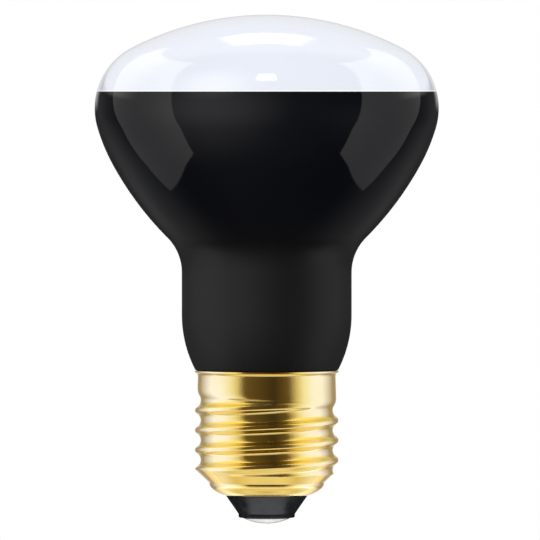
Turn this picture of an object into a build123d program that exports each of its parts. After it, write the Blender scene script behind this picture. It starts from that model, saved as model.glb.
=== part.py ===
from build123d import *
import math
import os

# Reflector bulb on an E27 screw cap, standing crown up, in millimetres.
# The axis of the bulb is Z and the tip of its centre contact is the origin.
# Slopes are degrees from the vertical.

# Glass envelope
bulb_height = 93.1
bulb_d = 63.0
equator_z = 75.96
shoulder_r = 12.5
shoulder_slope = 16.3
flank_r = 34.1
flank_slope = 28.5
cone_r = 58.4
cone_slope = 45.0
neck_d = 31.08
foot_z = 38.2
foot_r = 21.85
foot_slope = 27.0
tuck_r = 0.6
tuck_slope = 75.0

# Cap shell, drawn from brass sheet
sheet = 0.3
flare_r = 0.8
flare_slope = 75.0
collar_d = 25.2
collar_taper = 0.2
collar_base_z = 24.2
groove_z = 23.4
bend_r = 0.5
run_out_z = 22.9
run_out_slant = 4.2
run_out_slope = 42.0
nose_slope = 47.0
crease_d = 21.0
crease_z = 7.5
lip_turn_r = 1.5
lip_turn_slope = 50.0
lip_roll_r = 5.7
lip_roll_slope = 80.0

# Rolled round thread, right hand, with its turns counted from a crest at +X
thread_d = 26.26
thread_depth = 1.05
pitch = 3.629
crest_z = 18.9
crest_width = 1.44
root_flat = 0.4
root_sink = 0.04
root_run = 4.0
first_turn = -3.3
fade_turn = 0.55
last_turn = 1.1
fade_depth = 0.9
points_per_turn = 8

# Insulator, moulded into the lip of the shell
insulator_base_d = 10.3
insulator_rim_d = 14.9
insulator_top_z = 7.2
bead_h = 0.65
bead_r = 0.25

# Centre contact, a pin with a domed head
contact_d = 8.4
contact_h = 1.1
contact_edge = 0.15
pin_d = 2.2
pin_top_z = 9.0

# Fits
cement_gap = 0.2
rim_gap = 0.06
pin_clearance = 0.05


def turned(*outline):
    """Turn a closed outline, drawn as radius and height, about the axis."""
    return revolve(Plane.YZ * make_face(Curve() + [*outline]), Axis.Z)


def to_axis(top, bottom):
    """The lines that close an outline from its bottom end, up the axis, to its top end."""
    foot = Vector(0, bottom.Y)
    head = Vector(0, top.Y)
    return [Line(bottom, foot), Line(foot, head), Line(head, top)]


def ease(t):
    """Rise from 0 to 1 with level ends."""
    t = min(max(t, 0), 1)
    return t * t * (3 - 2 * t)


# Glass envelope: one blown piece, a chain of tangent arcs from the crown to the foot of the neck
shoulder_offset = bulb_d / 2 - shoulder_r
crown_rise = bulb_height - equator_z
crown_r = (shoulder_offset**2 + crown_rise**2 - shoulder_r**2) / (2 * (crown_rise - shoulder_r))
crown_turn = math.degrees(math.asin(shoulder_offset / (crown_r - shoulder_r)))
spigot_r = collar_d / 2 - sheet - cement_gap
spigot_z = collar_base_z + bend_r

crown = JernArc((0, bulb_height), (1, 0), crown_r, -crown_turn)
shoulder = JernArc(crown @ 1, crown % 1, shoulder_r, crown_turn - 90 - shoulder_slope)
flank = JernArc(shoulder @ 1, shoulder % 1, flank_r, shoulder_slope - flank_slope)
cone = JernArc(flank @ 1, flank % 1, cone_r, flank_slope - cone_slope)
throat_r = ((cone @ 1).X - neck_d / 2) / (1 - math.cos(math.radians(cone_slope)))
throat = JernArc(cone @ 1, cone % 1, throat_r, cone_slope)
neck = Line(throat @ 1, (neck_d / 2, foot_z))
foot = JernArc(neck @ 1, (0, -1), foot_r, -foot_slope)
tuck = JernArc(foot @ 1, foot % 1, tuck_r, foot_slope - tuck_slope)
ledge_drop = ((tuck @ 1).X - spigot_r) / math.tan(math.radians(tuck_slope))
ledge = Line(tuck @ 1, (spigot_r, (tuck @ 1).Y - ledge_drop))
spigot = Line(ledge @ 1, (spigot_r, spigot_z))
blown_outline = [crown, shoulder, flank, cone, throat, neck, foot, tuck, ledge, spigot]
glass_envelope = turned(*blown_outline, Line(spigot @ 1, (0, spigot_z)), Line((0, spigot_z), crown @ 0))


# Cap shell: thin sheet, flared along the ledge of the glass, rolled into a thread and turned in at the lip
root_d = thread_d - 2 * thread_depth
clear_d = thread_d + 2 * thread_depth
nose_h = (clear_d - crease_d) / 2 / math.tan(math.radians(nose_slope))
rim_r = collar_d / 2 + flare_r - (flare_r + sheet) * math.cos(math.radians(flare_slope))
rim_h = (flare_r + sheet) * math.sin(math.radians(flare_slope))
seat_rise = (rim_r - (ledge @ 0).X) / math.tan(math.radians(tuck_slope))
collar_z = (ledge @ 0).Y + seat_rise - rim_gap - rim_h


def collar_form(inset, drop):
    """Flared rim and collar, filled to the axis, drawn inward by an inset and down by a drop."""
    centre = (collar_d / 2 + flare_r, collar_z)
    flare = CenterArc(centre, flare_r + inset, 180 - flare_slope, flare_slope)
    rim = CenterArc(centre, flare_r + sheet, 180 - flare_slope, flare_slope) @ 0
    edge = [Line(rim, flare @ 0)] if inset < sheet else []
    base = (collar_d / 2 + collar_taper - inset, collar_base_z - drop)
    groove = (root_d / 2 - inset - sheet, groove_z - drop)
    wall = FilletPolyline(flare @ 1, base, groove, radius=bend_r)
    return turned(*edge, flare, *wall.edges(), *to_axis(rim, wall @ 1))


def collar_outside():
    """Collar that ends on a slant, where the last groove of the thread runs out under it."""
    wall_r = collar_d / 2 + collar_taper
    depth = 2 * thread_depth
    fall = depth / math.tan(math.radians(run_out_slope))
    below = Polyline(
        (0, -fall),
        (wall_r - depth, -fall),
        (wall_r + depth, fall),
        (wall_r + depth, -2 * pitch),
        (0, -2 * pitch),
        close=True,
    )
    slant = Pos(0, 0, run_out_z) * Rot(0, run_out_slant, 0) * turned(*below.edges())
    collar = collar_form(0, pitch) - slant
    return fillet(collar.edges().filter_by(GeomType.BSPLINE), bend_r)


def rod(radius, top_z):
    """Plain cylinder on the axis, from the tip of the contact up."""
    return Cylinder(radius, top_z, align=(Align.CENTER, Align.CENTER, Align.MIN))


def barrel_form(inset):
    """Plain barrel at the root of the thread."""
    return rod(root_d / 2 - inset, collar_base_z - inset)


def lip_arcs(inset):
    """Two tangent arcs that turn the sheet in under the nose."""
    turn = JernArc((crease_d / 2 - inset, crease_z), (0, -1), lip_turn_r - inset, -lip_turn_slope)
    roll = JernArc(turn @ 1, turn % 1, lip_roll_r - inset, lip_turn_slope - lip_roll_slope)
    return [turn, roll]


def nose_form(inset):
    """All that lies inside the tapered nose and its lip, clear of the thread above."""
    turn, roll = lip_arcs(inset)
    nose_top = (clear_d / 2 - inset, crease_z + nose_h)
    nose = Polyline((clear_d / 2 - inset, collar_z), nose_top, turn @ 0)
    return turned(*nose.edges(), turn, roll, *to_axis(nose @ 0, roll @ 1))


def thread_ridge():
    """A rounded crest carried along a helix, which sinks into the collar at its upper end."""
    def crest_point(turn):
        sink = fade_depth * ease((turn - fade_turn) / (last_turn - fade_turn))
        radius = thread_d / 2 - sink
        angle = 2 * math.pi * turn
        return Vector(radius * math.cos(angle), radius * math.sin(angle), crest_z + pitch * turn)

    steps = round((last_turn - first_turn) * points_per_turn)
    turns = [first_turn + (last_turn - first_turn) * i / steps for i in range(steps + 1)]
    helix = Spline(*[crest_point(turn) for turn in turns])
    start = crest_point(first_turn)
    guide = Line((0, 0, start.Z), (0, 0, crest_point(last_turn).Z))

    root = -thread_depth - root_sink
    half_root = (pitch - root_flat) / 2
    crest = Spline(
        (root, half_root),
        (-thread_depth / 2, crest_width / 2),
        (0, 0),
        (-thread_depth / 2, -crest_width / 2),
        (root, -half_root),
        tangents=((1, -root_run), (-1, -root_run)),
    )
    base = Polyline(crest @ 1, (root - sheet / 2, -half_root), (root - sheet / 2, half_root), crest @ 0)
    outward = Vector(start.X, start.Y)
    section = Plane(start, x_dir=outward, z_dir=outward.cross(Vector(0, 0, 1)))
    return sweep(section * make_face([crest, *base.edges()]), helix, binormal=Wire([guide]))


cap_outside = ((barrel_form(0) + thread_ridge()) & nose_form(0)) + collar_outside()
cap_inside = (barrel_form(sheet) & nose_form(sheet)) + collar_form(sheet, 0)
lip_z = (lip_arcs(0)[-1] @ 1).Y
hole_r = (lip_arcs(sheet)[-1] @ 1).X
cap_shell = cap_outside - cap_inside - rod(hole_r, crease_z)


# Insulator: a cone under the lip, moulded through the hole and against the inside of the shell
insulator_side = FilletPolyline(
    (0, contact_h),
    (insulator_base_d / 2, contact_h),
    (insulator_base_d / 2, contact_h + bead_h),
    (insulator_rim_d / 2, lip_z),
    radius=bead_r,
)
insulator_plug = Polyline(
    insulator_side @ 1,
    (hole_r, lip_z),
    (hole_r, insulator_top_z),
    (0, insulator_top_z),
    insulator_side @ 0,
)
lip_fill = cap_inside & rod(clear_d / 2, insulator_top_z)
pin_hole = rod(pin_d / 2 + pin_clearance, pin_top_z)
cap_insulator = turned(*insulator_side.edges(), *insulator_plug.edges()) + lip_fill - pin_hole


# Centre contact: a pin through the insulator, with a domed head against its end
dome = TangentArc((0, 0), (contact_d / 2, contact_h - contact_edge), tangent=(1, 0))
pin = Polyline(
    dome @ 1,
    (contact_d / 2, contact_h),
    (pin_d / 2, contact_h),
    (pin_d / 2, pin_top_z),
    (0, pin_top_z),
    dome @ 0,
)
centre_contact = turned(dome, *pin.edges())


nodes = {
    "glass_envelope": glass_envelope,
    "cap_shell": cap_shell,
    "cap_insulator": cap_insulator,
    "centre_contact": centre_contact,
}
os.makedirs("parts", exist_ok=True)
for name, node in nodes.items():
    export_step(node, f"parts/{name}.step")
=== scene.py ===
import math

import bpy
import numpy as np
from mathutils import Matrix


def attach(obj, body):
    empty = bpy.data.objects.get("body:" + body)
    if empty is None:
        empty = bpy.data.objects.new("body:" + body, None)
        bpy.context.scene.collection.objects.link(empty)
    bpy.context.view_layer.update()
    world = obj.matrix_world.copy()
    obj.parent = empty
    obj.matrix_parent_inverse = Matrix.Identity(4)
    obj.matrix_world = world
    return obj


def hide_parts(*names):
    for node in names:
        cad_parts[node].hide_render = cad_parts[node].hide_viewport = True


# Reflector bulb on a brass screw cap, standing front up. Outlines are in millimetres, meshes in metres.
# The axis of the bulb is Z, the tip of its centre contact is the origin and it is looked at from -Y.
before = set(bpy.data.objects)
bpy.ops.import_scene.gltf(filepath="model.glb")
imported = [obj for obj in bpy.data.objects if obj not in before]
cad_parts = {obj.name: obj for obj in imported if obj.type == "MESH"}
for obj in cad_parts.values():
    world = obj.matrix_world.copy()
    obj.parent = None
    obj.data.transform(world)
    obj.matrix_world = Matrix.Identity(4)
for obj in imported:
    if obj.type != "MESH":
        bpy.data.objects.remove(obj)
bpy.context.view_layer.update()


# Glass envelope: one blown bulb, opal over its broad front and lacquered black from there down.
# Its neck is cemented into the cap and ends out of sight inside the collar.
mm = 0.001
bulb_top = 93.1
bulb_r = 31.47
equator_z = 75.96
shoulder_r = 12.5
shoulder_slope = 16.3
flank_r = 34.1
flank_slope = 28.5
cone_r = 58.4
cone_slope = 45
neck_r = 15.54
foot_z = 38.2
foot_r = 21.85
foot_slope = 27
tuck_r = 0.6
tuck_slope = 75
spigot_r = 12.1
spigot_z = 24.7
lacquer_z = 79.05
bare_edge = 0.28
haze_top_z = 61
haze_foot_z = 45
bulb_step = 0.45
neck_step = 0.4
glass_columns = 288
sharp_angle = 38


def tangent_chain(start, heading, moves, step):
    """Points along arcs and straight runs that follow one another without a corner.
    A move is a length and the turn in degrees along it. Each step heads half way through its own turn."""
    counts = [max(1, math.ceil(length / step)) for length, turn in moves]
    lengths = np.concatenate([np.full(n, length / n) for n, (length, turn) in zip(counts, moves)])
    turns = np.radians(np.concatenate([np.full(n, turn / n) for n, (length, turn) in zip(counts, moves)]))
    ends = math.radians(heading) + np.cumsum(turns)
    chords = lengths * np.sinc(turns / (2 * np.pi))
    way = np.stack([chords * np.cos(ends - turns / 2), chords * np.sin(ends - turns / 2)], axis=1)
    return np.array(start) + np.concatenate([np.zeros((1, 2)), np.cumsum(way, axis=0)])


def arc(radius, turn):
    """The length and turn of an arc."""
    return radius * math.radians(abs(turn)), turn


def skin(name, radius, height, loop=False):
    """A surface round the axis, with a row for each place on the outline and a column for each angle.
    The outline runs down the outside. Each face joins four neighbours.
    A row of no radius is one vertex, with triangles round it."""
    rows, columns = radius.shape
    angle = np.linspace(0, 2 * np.pi, columns, endpoint=False)
    places = np.stack([radius * np.cos(angle), radius * np.sin(angle), height], axis=2) * mm
    pole = radius.max(axis=1) < 1e-6
    first = np.concatenate([[0], np.cumsum(np.where(pole, 1, columns))[:-1]])
    index = first[:, None] + np.where(pole[:, None], 0, np.arange(columns)[None, :])
    keep = np.ones((rows, columns), bool)
    keep[pole, 1:] = False
    upper = index if loop else index[:-1]
    lower = np.roll(index, -1, axis=0) if loop else index[1:]
    quads = np.stack([upper, lower, np.roll(lower, -1, axis=1), np.roll(upper, -1, axis=1)], axis=2)
    quads = quads.reshape(-1, 4)
    at_head = quads[:, 0] == quads[:, 3]
    at_tail = quads[:, 1] == quads[:, 2]
    faces = quads[~at_head & ~at_tail].tolist()
    faces += quads[at_head][:, :3].tolist()
    faces += quads[at_tail][:, [0, 1, 3]].tolist()
    mesh = bpy.data.meshes.new(name)
    mesh.from_pydata(places[keep].tolist(), [], faces)
    mesh.polygons.foreach_set("use_smooth", np.ones(len(mesh.polygons), bool))
    mesh.set_sharp_from_angle(angle=math.radians(sharp_angle))
    piece = bpy.data.objects.new(name, mesh)
    bpy.context.scene.collection.objects.link(piece)
    return piece


def all_round(outline, columns):
    """Radius and height of an outline, repeated at every angle."""
    return np.repeat(outline[:, :1], columns, axis=1), np.repeat(outline[:, 1:], columns, axis=1)


def turned(name, outline, columns, loop=False):
    """An outline of radius and height, carried round the axis."""
    return skin(name, *all_round(outline, columns), loop)


shoulder_offset = bulb_r - shoulder_r
front_rise = bulb_top - equator_z
front_r = (shoulder_offset**2 + front_rise**2 - shoulder_r**2) / (2 * (front_rise - shoulder_r))
front_turn = math.degrees(math.asin(shoulder_offset / (front_r - shoulder_r)))
bare_turn = 90 - math.degrees(math.asin((lacquer_z + bare_edge - equator_z) / shoulder_r))
lacquer_turn = 90 - math.degrees(math.asin((lacquer_z - equator_z) / shoulder_r))

dome = tangent_chain((0, bulb_top), 0, [
    arc(front_r, -front_turn),
    arc(shoulder_r, front_turn - bare_turn),
], bulb_step)
edge = tangent_chain(dome[-1], -bare_turn, [arc(shoulder_r, bare_turn - lacquer_turn)], bare_edge)
flank = tangent_chain(edge[-1], -lacquer_turn, [
    arc(shoulder_r, lacquer_turn - 90 - shoulder_slope),
    arc(flank_r, shoulder_slope - flank_slope),
    arc(cone_r, flank_slope - cone_slope),
], bulb_step)
throat_r = (flank[-1, 0] - neck_r) / (1 - math.cos(math.radians(cone_slope)))
throat = tangent_chain(flank[-1], -90 - cone_slope, [arc(throat_r, cone_slope)], neck_step)
neck = tangent_chain(throat[-1], -90, [
    (throat[-1, 1] - foot_z, 0),
    arc(foot_r, -foot_slope),
    arc(tuck_r, foot_slope - tuck_slope),
], neck_step)
ledge_drop = (neck[-1, 0] - spigot_r) / math.tan(math.radians(tuck_slope))
spigot = np.array([[spigot_r, neck[-1, 1] - ledge_drop], [spigot_r, spigot_z], [0, spigot_z]])
blown = np.concatenate([dome, edge[1:], flank[1:], throat[1:], neck[1:], spigot])
envelope = turned("glass_envelope_blown", blown, glass_columns)


def feed(node, values):
    """Set a node's inputs, or link them where the value is another node's output."""
    for key, value in values.items():
        if isinstance(value, bpy.types.NodeSocket):
            node.id_data.links.new(value, node.inputs[key])
        else:
            node.inputs[key].default_value = value


def add(tree, kind, values=None, **settings):
    """Add a node to a tree, with its settings made before its inputs are fed."""
    node = tree.nodes.new(kind)
    for key, value in settings.items():
        setattr(node, key, value)
    feed(node, values or {})
    return node


def new_material(name):
    """A new material, with its node tree and its Principled shader."""
    material = bpy.data.materials.new(name)
    material.use_nodes = True
    return material, material.node_tree, material.node_tree.nodes["Principled BSDF"]


mottle = bpy.data.node_groups.new("mottled tone", "ShaderNodeTree")
for socket, kind in {"Scale": "Float", "Dark": "Color", "Light": "Color"}.items():
    mottle.interface.new_socket(socket, in_out="INPUT", socket_type=f"NodeSocket{kind}")
for socket, kind in {"Tone": "Color", "Mask": "Float"}.items():
    mottle.interface.new_socket(socket, in_out="OUTPUT", socket_type=f"NodeSocket{kind}")
given = add(mottle, "NodeGroupInput")
place = add(mottle, "ShaderNodeTexCoord")
cloud = add(mottle, "ShaderNodeTexNoise", {
    "Vector": place.outputs["Object"], "Scale": given.outputs["Scale"], "Detail": 3.0})
mask = add(mottle, "ShaderNodeMapRange", {
    "Value": cloud.outputs["Fac"], "From Min": 0.3, "From Max": 0.7})
tone = add(mottle, "ShaderNodeMix", {
    "Factor": mask.outputs["Result"], 6: given.outputs["Dark"], 7: given.outputs["Light"],
}, data_type="RGBA")
add(mottle, "NodeGroupOutput", {"Tone": tone.outputs[2], "Mask": mask.outputs["Result"]})

opal, tree, shader = new_material("opal glass")
milk = add(tree, "ShaderNodeGroup", node_tree=mottle)
feed(milk, {"Scale": 45.0, "Dark": (0.830, 0.865, 0.955, 1), "Light": (0.855, 0.890, 0.975, 1)})
feed(shader, {"Base Color": milk.outputs["Tone"], "Roughness": 0.06, "Coat Weight": 0.5})

# The narrow band of glass between the opal and the lacquer is coloured nearly white, whiter than the opal: a
# painted highlight along the lacquer's edge.
bare, tree, shader = new_material("bare glass edge painted as a highlight")
clear = add(tree, "ShaderNodeGroup", node_tree=mottle)
feed(clear, {"Scale": 300.0, "Dark": (0.95, 0.96, 0.98, 1), "Light": (1.0, 1.0, 1.0, 1)})
feed(shader, {"Base Color": clear.outputs["Tone"], "Roughness": 0.1})

lacquer, tree, shader = new_material("black lacquer")
black = add(tree, "ShaderNodeGroup", node_tree=mottle)
feed(black, {"Scale": 60.0, "Dark": (0.0024, 0.0026, 0.0040, 1), "Light": (0.0034, 0.0037, 0.0054, 1)})
place = add(tree, "ShaderNodeTexCoord")
along = add(tree, "ShaderNodeSeparateXYZ", {"Vector": place.outputs["Object"]})
# Towards the neck the black turns a little lighter and the lacquer rougher.
haze = add(tree, "ShaderNodeMapRange", {
    "Value": along.outputs["Z"], "From Min": haze_top_z * mm, "From Max": haze_foot_z * mm,
}, interpolation_type="SMOOTHSTEP")
lighter_towards_neck = add(tree, "ShaderNodeMix", {
    "Factor": haze.outputs["Result"], 6: black.outputs["Tone"], 7: (0.0050, 0.0050, 0.0056, 1),
}, data_type="RGBA")
soft = add(tree, "ShaderNodeMapRange", {"Value": haze.outputs["Result"], "To Min": 0.05, "To Max": 0.5})
feed(shader, {
    "Base Color": lighter_towards_neck.outputs[2], "Roughness": soft.outputs["Result"], "Specular IOR Level": 0.25})

for coat in (opal, bare, lacquer):
    envelope.data.materials.append(coat)
middles = np.empty(len(envelope.data.polygons) * 3)
envelope.data.polygons.foreach_get("center", middles)
face_z = middles[2::3] / mm
coats = np.where(face_z > lacquer_z + bare_edge, 0, np.where(face_z > lacquer_z, 1, 2)).astype(np.int32)
envelope.data.polygons.foreach_set("material_index", coats)
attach(envelope, "root")
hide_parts("glass_envelope")


# Cap shell: thin brass sheet, flared at the rim, rolled into a coarse round thread and turned in at the lip.
# It is cemented round the neck of the glass.
sheet = 0.3
flare_r = 0.8
flare_slope = 75
collar_r = 12.6
collar_taper = 0.2
collar_z = 26.94
collar_base_z = 24.2
run_out_z = 22.9
run_out_slant = 4.2
run_out_slope = 42
run_out_blend = 1.4
thread_r = 13.13
thread_depth = 1.05
pitch = 3.629
crest_z = 18.9
crest_half_width = 0.76
crest_fullness = 3.2
fade_turn = 0.55
last_turn = 1.1
fade_depth = 0.9
thread_blend = 0.5
nose_slope = 47
crease_r = 10.5
crease_z = 7.5
lip_turn_r = 1.5
lip_turn_slope = 50
lip_roll_r = 5.7
lip_roll_slope = 80
lip_bend_out = 2.3
lip_bend_drop = 0.9
nose_back_rise = 1.5
collar_back_drop = 0.55
back_play = 0.05
flare_step = 0.09
lip_step = 0.15
wall_rows = 240
cap_columns = 288


def smooth_max(a, b, blend):
    """The larger of two surfaces, with the corner between them rounded over about the blend length."""
    gap = np.maximum(blend - np.abs(a - b), 0) / blend
    return np.maximum(a, b) + gap**3 * blend / 6


def ease(t):
    """Rise from 0 to 1 with level ends."""
    t = np.clip(t, 0, 1)
    return t * t * (3 - 2 * t)


def thread_radius(turn, height):
    """Radius of the rolled barrel. The crest follows a helix, one pitch a turn, so the nearest crest is a
    whole number of turns from this place. Away from it the radius falls along a bell to the root.
    The crest sinks at the top of the thread."""
    turns = (height - crest_z) / pitch - turn
    nearest = np.round(turns)
    away = np.abs(turns - nearest) * pitch
    tail = 1 / (1 + (pitch / 2 / crest_half_width) ** crest_fullness)
    bell = (1 / (1 + (away / crest_half_width) ** crest_fullness) - tail) / (1 - tail)
    fade = ease((turn + nearest - fade_turn) / (last_turn - fade_turn))
    end = ease((turn + nearest - last_turn) / (1 - fade_turn))
    rise = np.maximum(thread_depth - fade_depth * fade - thread_depth * end, 0)
    return thread_r - thread_depth + rise * bell


def collar_radius(angle, height):
    """Radius of the collar: a slight taper down to a slanting end, and below that a cone into the thread.
    The end falls towards +X, where the last groove of the thread runs out under it."""
    wall = collar_r + collar_taper * (collar_z - height) / (collar_z - collar_base_z + pitch)
    end_r = collar_r + collar_taper
    end_z = run_out_z - math.tan(math.radians(run_out_slant)) * end_r * np.cos(angle)
    cone = end_r - (end_z - height) * math.tan(math.radians(run_out_slope))
    return -smooth_max(-wall, -cone, run_out_blend)


flare_top = (
    collar_r + flare_r * (1 - math.cos(math.radians(flare_slope))),
    collar_z + flare_r * math.sin(math.radians(flare_slope)),
)
flare = tangent_chain(flare_top, 270 - flare_slope, [arc(flare_r, flare_slope)], flare_step)
lip = tangent_chain((crease_r, crease_z), -90, [
    arc(lip_turn_r, -lip_turn_slope),
    arc(lip_roll_r, lip_turn_slope - lip_roll_slope),
], lip_step)
angle, wall_z = np.meshgrid(
    np.linspace(0, 2 * np.pi, cap_columns, endpoint=False),
    np.linspace(collar_z, crease_z, wall_rows)[1:],
)
nose = crease_r + (wall_z - crease_z) * math.tan(math.radians(nose_slope))
barrel = np.minimum(thread_radius(angle / (2 * np.pi), wall_z), nose)
wall = smooth_max(barrel, np.minimum(collar_radius(angle, wall_z), nose), thread_blend)
bore_r = thread_r - thread_depth - sheet
lip_hole_r = lip[-1, 0] - back_play
back_of_rim = tangent_chain(
    (collar_r - sheet, collar_z), 90, [arc(flare_r + sheet, -flare_slope)], lip_step)
inside = np.concatenate([[
    [lip_hole_r, lip[-1, 1] + sheet],
    [lip_hole_r + lip_bend_out, crease_z - lip_bend_drop],
    [crease_r - sheet, crease_z],
    [bore_r, crease_z + nose_back_rise],
    [bore_r, collar_base_z - collar_back_drop],
    [collar_r + collar_taper - sheet - back_play, collar_base_z],
], back_of_rim])
rows = [
    all_round(flare, cap_columns),
    (wall, wall_z),
    all_round(lip[1:], cap_columns),
    all_round(inside, cap_columns),
]
shell = skin("cap_shell_rolled", *[np.concatenate(part) for part in zip(*rows)], loop=True)

grain = bpy.data.node_groups.new("fine grain", "ShaderNodeTree")
for socket in ("Scale", "Strength"):
    grain.interface.new_socket(socket, in_out="INPUT", socket_type="NodeSocketFloat")
grain.interface.new_socket("Normal", in_out="OUTPUT", socket_type="NodeSocketVector")
given = add(grain, "NodeGroupInput")
place = add(grain, "ShaderNodeTexCoord")
speck = add(grain, "ShaderNodeTexNoise", {
    "Vector": place.outputs["Object"], "Scale": given.outputs["Scale"], "Detail": 2.0})
relief = add(grain, "ShaderNodeBump", {
    "Height": speck.outputs["Fac"], "Strength": given.outputs["Strength"], "Distance": 0.00002})
add(grain, "NodeGroupOutput", {"Normal": relief.outputs["Normal"]})

brass, tree, shader = new_material("rolled brass")
tint = add(tree, "ShaderNodeGroup", node_tree=mottle)
feed(tint, {"Scale": 160.0, "Dark": (0.905, 0.685, 0.225, 1), "Light": (0.945, 0.735, 0.285, 1)})
polish = add(tree, "ShaderNodeMapRange", {"Value": tint.outputs["Mask"], "To Min": 0.12, "To Max": 0.18})
rolled = add(tree, "ShaderNodeGroup", node_tree=grain)
feed(rolled, {"Scale": 2600.0, "Strength": 0.45})
feed(shader, {
    "Base Color": tint.outputs["Tone"], "Metallic": 1.0, "Roughness": polish.outputs["Result"],
    "Normal": rolled.outputs["Normal"]})
shell.data.materials.append(brass)
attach(shell, "root")
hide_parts("cap_shell")


# Insulator: black glassy material moulded through the hole in the lip.
# It tapers to a small bead, against which the contact sits.
insulator_top = 7.2
insulator_rim_r = 7.45
bead_r = 5.15
bead_z = 1.75
bead_round = 0.25
bead_drop = 0.08
taper_end_out = 0.03
taper_end_up = 0.06
taper_rows = 40
bead_step = 0.05
contact_z = 1.1
pin_hole_r = 1.15
mould_play = 0.01
plug_h = 0.3
insulator_columns = 192
plug_r = lip_hole_r - mould_play
rim_z = lip[-1, 1] - mould_play
taper = np.linspace(
    (insulator_rim_r, rim_z), (bead_r + taper_end_out, bead_z + taper_end_up), taper_rows)
bead = tangent_chain((bead_r, bead_z - bead_drop), -90, [
    (bead_z - contact_z - bead_drop - bead_round, 0),
    arc(bead_round, -90),
], bead_step)
core = np.array([[pin_hole_r, contact_z], [pin_hole_r, insulator_top], [plug_r, insulator_top]])
plug = np.array([[plug_r, rim_z + plug_h], [plug_r, rim_z]])
moulded = np.concatenate([plug, taper, bead, core])
insulator = turned("insulator_moulded", moulded, insulator_columns, loop=True)

black_glass, tree, shader = new_material("black insulator")
flow = add(tree, "ShaderNodeGroup", node_tree=mottle)
feed(flow, {"Scale": 500.0, "Dark": (0.008, 0.009, 0.011, 1), "Light": (0.022, 0.024, 0.028, 1)})
cast = add(tree, "ShaderNodeGroup", node_tree=grain)
feed(cast, {"Scale": 900.0, "Strength": 0.6})
sheen = add(tree, "ShaderNodeMapRange", {"Value": flow.outputs["Mask"], "To Min": 0.18, "To Max": 0.28})
feed(shader, {
    "Base Color": flow.outputs["Tone"], "Roughness": sheen.outputs["Result"],
    "Normal": cast.outputs["Normal"]})
insulator.data.materials.append(black_glass)
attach(insulator, "root")
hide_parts("cap_insulator")


# Centre contact: a plated pin through the insulator, with a low domed head.
# Its head lies against the end of the insulator.
head_r = 4.2
head_rise = 0.95
pin_r = 1.1
pin_top = 9.0
head_step = 0.1
contact_columns = 144
head_curve = (head_r**2 + head_rise**2) / (2 * head_rise)
head_turn = math.degrees(math.asin(head_r / head_curve))
shank = np.array([[0, pin_top], [pin_r, pin_top], [pin_r, contact_z], [head_r, contact_z]])
tip = tangent_chain((head_r, head_rise), 180 + head_turn, [arc(head_curve, -head_turn)], head_step)
tip[-1] = (0, 0)
contact = turned("contact_head", np.concatenate([shank, tip]), contact_columns)

plate, tree, shader = new_material("plated contact")
wear = add(tree, "ShaderNodeGroup", node_tree=mottle)
feed(wear, {"Scale": 900.0, "Dark": (0.82, 0.81, 0.79, 1), "Light": (0.94, 0.935, 0.92, 1)})
dull = add(tree, "ShaderNodeMapRange", {"Value": wear.outputs["Mask"], "To Min": 0.36, "To Max": 0.24})
rubbed = add(tree, "ShaderNodeGroup", node_tree=grain)
feed(rubbed, {"Scale": 3000.0, "Strength": 0.3})
feed(shader, {
    "Base Color": wear.outputs["Tone"], "Metallic": 1.0, "Roughness": dull.outputs["Result"],
    "Normal": rubbed.outputs["Normal"]})
contact.data.materials.append(plate)
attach(contact, "root")
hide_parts("centre_contact")


# Studio: a pale floor below the bulb, a dark tent and a lit veil round it, and light panels and cards.
# None of it belongs to the bulb. All but the floor and the lamp is seen only by mirror reflection: the tent
# by every piece, and each of the rest by one piece alone.
panel_points = 61
glass_middle = (0, -0.02, 0.074)
glass_panel_r = 0.9
cap_middle = (0, 0, 0.016)
cap_panel_r = 0.5
cap_panel_lift = 24
ball_columns = 73
ball_rows = 37
tent_r = 1.3
tent_level = 0.012
veil_r = 1.2
disc_columns = 33
disc_rows = 65
floor_z = -0.04
floor_r = 0.75
lamp_size = 0.5
lamp_power = 1.0
lamp_place = (0, -0.2, 1.2)
lamp_tilt = -9.5


def stage_piece(name, places, columns, across=None):
    """A sheet of the studio from a grid of places, seen only by mirror reflection.
    Each face joins four neighbours, and each place may keep its share of the way across."""
    index = np.arange(len(places)).reshape(-1, columns)
    quads = np.stack([index[:-1, :-1], index[:-1, 1:], index[1:, 1:], index[1:, :-1]], axis=2)
    mesh = bpy.data.meshes.new(name)
    mesh.from_pydata(places.tolist(), [], quads.reshape(-1, 4).tolist())
    piece = bpy.data.objects.new(name, mesh)
    bpy.context.scene.collection.objects.link(piece)
    piece.visible_camera = False
    piece.visible_diffuse = False
    piece.visible_shadow = False
    piece.visible_transmission = False
    if across is not None:
        mark = mesh.attributes.new("across", "FLOAT", "POINT")
        mark.data.foreach_set("value", across.ravel())
    return piece


def toward(azimuth, lift):
    """Unit vector from the bulb, for degrees to the right of the viewer's side and degrees up."""
    azimuth, lift = np.radians(azimuth), np.radians(lift)
    level = np.cos(lift)
    return np.stack([np.sin(azimuth) * level, -np.cos(azimuth) * level, np.sin(lift)], axis=-1)


def panel(name, near, far, low, high, distance, centre, curl=(0, 0), sag=0, tuck=0):
    """A sheet bent round the bulb, between a near and a far azimuth and from a low edge to a high one.
    Its sides turn away by the curl times the fourth power of the share of the way up, and its low edge sags
    in the middle. The foot of its far side is tucked in by the sixth power of the share of the way down."""
    share = np.linspace(0, 1, panel_points)
    up, across = np.meshgrid(share, share, indexing="ij")
    azimuth = near + (far - near) * across + (curl[0] + (curl[1] - curl[0]) * across) * up**4
    azimuth = azimuth - tuck * across * (1 - up) ** 6
    top = high[0] + (high[1] - high[0]) * across
    lift = low + (top - low) * up - sag * 4 * across * (1 - across) * (1 - up) ** 4
    places = toward(azimuth, lift).reshape(-1, 3) * distance + np.array(centre)
    return stage_piece(name, places, panel_points, across)


def lamp_cloth(name):
    """A new material with an empty node tree."""
    material = bpy.data.materials.new(name)
    material.use_nodes = True
    material.node_tree.nodes.clear()
    return material, material.node_tree


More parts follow.
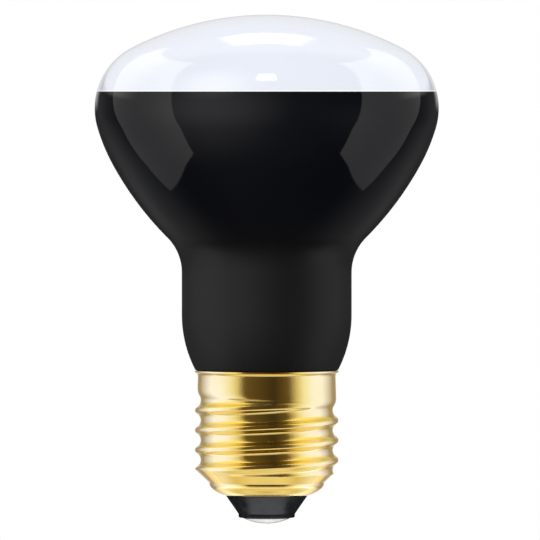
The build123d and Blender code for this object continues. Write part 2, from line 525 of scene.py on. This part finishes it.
def shine(tree, values):
    """Give a cloth light of its own, and let through what is behind it."""
    light = add(tree, "ShaderNodeEmission", values)
    clear = add(tree, "ShaderNodeBsdfTransparent")
    both = add(tree, "ShaderNodeAddShader", {0: light.outputs["Emission"], 1: clear.outputs["BSDF"]})
    add(tree, "ShaderNodeOutputMaterial", {"Surface": both.outputs["Shader"]})


def light_up(piece, receivers, stops):
    """Light a panel for the receivers alone, with a colour for each share of the way across it."""
    material, tree = lamp_cloth(f"{piece.name} light")
    share = add(tree, "ShaderNodeAttribute", attribute_name="across")
    ramp = add(tree, "ShaderNodeValToRGB", {"Fac": share.outputs["Fac"]})
    for place in list(stops)[2:]:
        ramp.color_ramp.elements.new(place)
    for element, (place, colour) in zip(ramp.color_ramp.elements, stops.items()):
        element.position = place
        element.color = (*colour, 1)
    shine(tree, {"Color": ramp.outputs["Color"]})
    piece.data.materials.append(material)
    piece.light_linking.receiver_collection = receivers


def grey(level):
    """A neutral colour of one level."""
    return (level, level, level)


def turns_to_shares(turns):
    """Places on a full ring, from degrees of azimuth to shares of the way round."""
    return {(turn + 180) / 360: colour for turn, colour in turns.items()}


by_glass = bpy.data.collections.new("lit by the glass panels")
by_glass.objects.link(envelope)
by_brass = bpy.data.collections.new("lit by the cap cards")
by_brass.objects.link(shell)
by_foot = bpy.data.collections.new("lit by the foot card")
by_foot.objects.link(insulator)
by_tip = bpy.data.collections.new("lit by the tip card")
by_tip.objects.link(contact)

for name, side in {"left": -1, "right": 1}.items():
    softbox = panel(
        f"{name} softbox", near=side * 65, far=side * 120, low=-42, high=(61, 36),
        distance=glass_panel_r, centre=glass_middle, curl=(side * 37, side * 43), sag=4, tuck=side * 8)
    light_up(softbox, by_glass, {0: grey(1.22), 1: grey(0.52)})
strip = panel(
    "back strip", near=169, far=191, low=42, high=(52, 52), distance=glass_panel_r, centre=glass_middle)
light_up(strip, by_glass, {0: grey(0), 0.2: grey(2), 0.8: grey(2), 1: grey(0)})
window = panel(
    "front window", near=-9, far=9, low=48, high=(60, 60), distance=glass_panel_r, centre=glass_middle)
light_up(window, by_glass, {0: grey(5), 1: grey(5)})

round_about, up_and_down = np.meshgrid(
    np.linspace(-180, 180, ball_columns), np.linspace(-90, 90, ball_rows))
ball = toward(round_about, up_and_down).reshape(-1, 3)
tent = stage_piece("dark tent", ball * tent_r, ball_columns)
cloth, tree = lamp_cloth("dark cloth")
light = add(tree, "ShaderNodeEmission", {"Strength": tent_level})
add(tree, "ShaderNodeOutputMaterial", {"Surface": light.outputs["Emission"]})
tent.data.materials.append(cloth)

veil = stage_piece("lit veil", ball * veil_r, ball_columns)
veil.light_linking.receiver_collection = by_glass
cloth, tree = lamp_cloth("veil cloth")
place = add(tree, "ShaderNodeTexCoord")
where = add(tree, "ShaderNodeSeparateXYZ", {"Vector": place.outputs["Object"]})


def lit_patch(azimuth, lift, wide, narrow, level):
    """A soft round patch of light on the veil.
    It is full inside the narrow angle from its middle, and there is none past the wide angle."""
    beside = add(tree, "ShaderNodeVectorMath", {
        0: place.outputs["Object"], 1: tuple(toward(azimuth, lift) / veil_r)}, operation="DOT_PRODUCT")
    apart = add(tree, "ShaderNodeMath", {0: beside.outputs["Value"]}, operation="ARCCOSINE")
    patch = add(tree, "ShaderNodeMapRange", {
        "Value": apart.outputs["Value"], "From Min": math.radians(wide), "From Max": math.radians(narrow),
        "To Max": level}, interpolation_type="SMOOTHSTEP")
    return patch.outputs["Result"]


def lit_sky(low, high, near, far, level):
    """Light on the back of the veil. There is none below the low height or nearer than the near depth,
    and it is full above the high height past the far depth."""
    above = add(tree, "ShaderNodeMapRange", {
        "Value": where.outputs["Z"], "From Min": low, "From Max": high, "To Max": level,
    }, interpolation_type="SMOOTHSTEP")
    behind = add(tree, "ShaderNodeMapRange", {
        "Value": where.outputs["Y"], "From Min": near, "From Max": far,
    }, interpolation_type="SMOOTHSTEP")
    both = add(tree, "ShaderNodeMath", {
        0: above.outputs["Result"], 1: behind.outputs["Result"]}, operation="MULTIPLY")
    return both.outputs["Value"]


broad_sky = lit_sky(low=0.23, high=0.32, near=0.1, far=0.6, level=0.7)
far_sky = lit_sky(low=0.05, high=0.12, near=1.05, far=1.16, level=0.62)
total = add(tree, "ShaderNodeMath", {0: broad_sky, 1: far_sky}, operation="MAXIMUM").outputs["Value"]
for azimuth, lift, wide, narrow, level in (
    (-38, 5, 62, 0, 1.1),
    (-42, 42, 30, 0, 1.4),
    (-20, 5, 100, 20, 0.20),
    (62, -10, 34, 0, 0.16),
    (-134, 0, 32, 8, 0.07),
    (134, 0, 32, 8, 0.06),
    (-138, -38, 38, 10, 0.20),
    (138, -38, 38, 10, 0.17),
    (180, -5, 70, 30, 0.03),
):
    patch = lit_patch(azimuth, lift, wide, narrow, level)
    total = add(tree, "ShaderNodeMath", {0: total, 1: patch}).outputs["Value"]
shine(tree, {"Strength": total})
veil.data.materials.append(cloth)

plain = (1.00, 1.00, 1.00)
white = (1.08, 1.25, 2.40)
gold = (1.13, 1.06, 0.60)
butter = (1.01, 1.09, 1.30)
amber = (0.79, 0.76, 0.62)
umber = (0.127, 0.087, 0.032)
dusk = (0.036, 0.023, 0.007)
dim = (0.38, 0.33, 0.25)
surround = panel(
    "cap surround", near=-180, far=180, low=-40, high=(cap_panel_lift, cap_panel_lift),
    distance=cap_panel_r, centre=cap_middle)
light_up(surround, by_brass, turns_to_shares({
    -180: plain, -162: dim, -145: dim, -106: white, -82: white, -63: butter, -50: amber, -38: umber,
    12: dusk, 37: umber, 54: amber, 64: butter, 84: white, 106: white, 142: dim, 162: dim, 180: plain}))
canopy = panel(
    "cap canopy", near=-180, far=180, low=cap_panel_lift, high=(84, 84),
    distance=cap_panel_r, centre=cap_middle)
light_up(canopy, by_brass, turns_to_shares({
    -180: dim, -105: gold, -54: gold, -38: umber, 12: dusk, 37: umber, 58: gold, 100: gold, 180: dim}))

out, around = np.meshgrid(np.linspace(0, 1, disc_columns), np.linspace(0, 2 * np.pi, disc_rows))
disc = np.stack([out * np.cos(around), out * np.sin(around), 0 * out], axis=2).reshape(-1, 3)
for name, radius, height, receivers, stops in (
    ("base card", 0.06, -0.020, by_brass, {
        0: (0.61, 0.51, 0.26), 0.17: (0.93, 0.87, 0.65), 0.30: (0.75, 0.65, 0.38),
        0.50: (1.01, 1.03, 1.09), 0.70: (0.73, 0.67, 0.59), 1: dim}),
    ("foot card", 0.024, -0.022, by_foot, {0: grey(1.3), 0.8: grey(1.2), 1: grey(0.2)}),
    ("tip card", 0.06, -0.024, by_tip, {0: grey(1), 1: grey(0.8)}),
):
    card = stage_piece(name, disc * radius + np.array([0, 0, height]), disc_columns, out)
    light_up(card, receivers, stops)

corners = np.array([(-1, -1), (1, -1), (-1, 1), (1, 1)]) * floor_r
floor = stage_piece("floor", np.concatenate([corners, np.full((4, 1), floor_z)], axis=1), 2)
floor.visible_camera = True
floor.visible_diffuse = True
floor.visible_shadow = True
floor.visible_glossy = False
paper, tree, shader = new_material("white paper")
feed(shader, {"Base Color": (0.92, 0.92, 0.92, 1), "Roughness": 0.9})
side = add(tree, "ShaderNodeNewGeometry")
clear = add(tree, "ShaderNodeBsdfTransparent")
seen = add(tree, "ShaderNodeMixShader", {
    "Fac": side.outputs["Backfacing"], 1: shader.outputs["BSDF"], 2: clear.outputs["BSDF"]})
feed(tree.nodes["Material Output"], {"Surface": seen.outputs["Shader"]})
floor.data.materials.append(paper)

world = bpy.data.worlds.new("studio air")
bpy.context.scene.world = world
world.use_nodes = True
tree = world.node_tree
tree.nodes.clear()
air = add(tree, "ShaderNodeBackground", {"Color": (1, 1, 1, 1), "Strength": 1.0})
add(tree, "ShaderNodeOutputWorld", {"Surface": air.outputs["Background"]})

lamp = bpy.data.lights.new("top lamp", "AREA")
lamp.size = lamp_size
lamp.energy = lamp_power
top_lamp = bpy.data.objects.new("top lamp", lamp)
top_lamp.location = lamp_place
top_lamp.rotation_euler = (math.radians(lamp_tilt), 0, 0)
top_lamp.visible_glossy = False
bpy.context.scene.collection.objects.link(top_lamp)


# Camera: a long lens in front of the bulb, level with the edge of the lacquer and aimed half way up.
# It sees the bulb as large in its frame as the photograph does.
camera_x = 0.0006
camera_z = 0.079
camera_distance = 1.8
aim_z = 0.0464
sensor_mm = 36
lens_mm = 656
lens = bpy.data.cameras.new("camera")
lens.sensor_width = sensor_mm
lens.lens = lens_mm
camera = bpy.data.objects.new("camera", lens)
camera.location = (camera_x, -camera_distance, camera_z)
camera.rotation_euler = (math.pi / 2 - math.atan2(camera_z - aim_z, camera_distance), 0, 0)
bpy.context.scene.collection.objects.link(camera)
bpy.context.scene.camera = camera
bpy.context.scene.view_settings.view_transform = "Standard"
